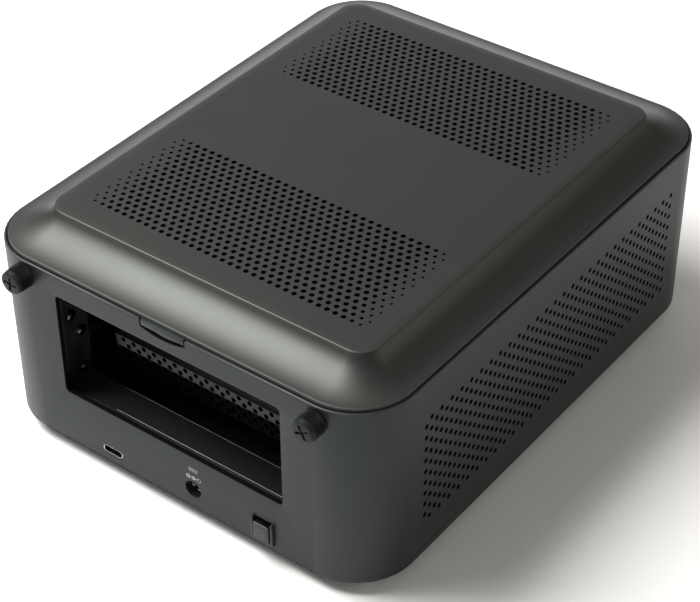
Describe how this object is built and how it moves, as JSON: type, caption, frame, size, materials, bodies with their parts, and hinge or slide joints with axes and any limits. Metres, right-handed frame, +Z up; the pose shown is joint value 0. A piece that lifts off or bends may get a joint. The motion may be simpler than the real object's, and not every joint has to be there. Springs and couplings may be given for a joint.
{
  "type": "external graphics card enclosure",
  "caption": "Rounded charcoal box that houses a flat graphics card, with a lift-off coved cover, vent fields, card window, thumbscrews, sockets and power button.",
  "frame": {"origin": "on the table, under the middle of the overall outline, thumbscrews included", "axes": "+X along the connector side to its right as seen from outside, -Y towards the connector side, +Z up"},
  "size_m": [0.1648, 0.2144, 0.0865],
  "materials": {
    "shell_paint": "matte charcoal powder coat",
    "cover_paint": "satin charcoal paint",
    "screw_black": "black oxide, ribbed",
    "bush_brass": "turned",
    "inner_steel": "black coated sheet steel with bare cut edges",
    "screw_steel": "zinc plated",
    "board_mask": "dark solder mask",
    "socket_steel": "nickel plated",
    "socket_plastic": "black moulded plastic",
    "button_plastic": "grey moulded plastic",
    "chip_plastic": "moulded epoxy",
    "sink_aluminium": "extruded, clear anodised",
    "foot_rubber": "soft black rubber"
  },
  "bodies": {
    "base": {"body_shell": "shell_paint", "bottom_plate": "shell_paint", "thumbscrew_bush_left": "bush_brass", "thumbscrew_bush_right": "bush_brass", "board_standoffs": "bush_brass", "bracket_plate": "inner_steel", "card_deck": "inner_steel", "bracket_screws": "screw_steel", "frame_screws": "screw_steel", "deck_screws": "screw_steel", "board_screws": "screw_steel", "bottom_screws": "screw_steel", "main_board": "board_mask", "riser_board": "board_mask", "usb_c_shell": "socket_steel", "dc_jack_pin": "socket_steel", "usb_c_tongue": "socket_plastic", "dc_jack": "socket_plastic", "pcie_slot": "socket_plastic", "riser_socket": "socket_plastic", "power_switch": "socket_plastic", "button_frame": "socket_plastic", "controller_chip": "chip_plastic", "inductors": "chip_plastic", "controller_heatsink": "sink_aluminium", "capacitors": "sink_aluminium", "foot_front_left": "foot_rubber", "foot_front_right": "foot_rubber", "foot_rear_left": "foot_rubber", "foot_rear_right": "foot_rubber"},
    "cover": {"top_cover": "cover_paint", "cover_ear_left": "inner_steel", "cover_ear_right": "inner_steel"},
    "thumbscrew_left": {"thumbscrew_left": "screw_black"},
    "thumbscrew_right": {"thumbscrew_right": "screw_black"},
    "button": {"button_cap": "button_plastic"},
    "latch": {"slot_latch": "socket_plastic"}
  },
  "joints": [
    {"name": "cover_lift", "type": "slide", "parent": "base", "child": "cover", "axis": [0, 0, 1], "range_m": [0, 0.03]},
    {"name": "thumbscrew_left_turn", "type": "hinge", "parent": "base", "child": "thumbscrew_left", "pos_m": [-0.061, -0.10075, 0.0715], "axis": [0, 1, 0], "continuous": true},
    {"name": "thumbscrew_right_turn", "type": "hinge", "parent": "base", "child": "thumbscrew_right", "pos_m": [0.061, -0.10075, 0.0715], "axis": [0, 1, 0], "continuous": true},
    {"name": "button_press", "type": "slide", "parent": "base", "child": "button", "axis": [0, 1, 0], "range_m": [0, 0.0006], "stiffness_N_per_m": 600, "springref_m": -0.001},
    {"name": "latch_turn", "type": "hinge", "parent": "base", "child": "latch", "pos_m": [0.06847, 0.04355, 0.032], "axis": [0, 0, -1], "range_deg": [0, 20]}
  ]
}
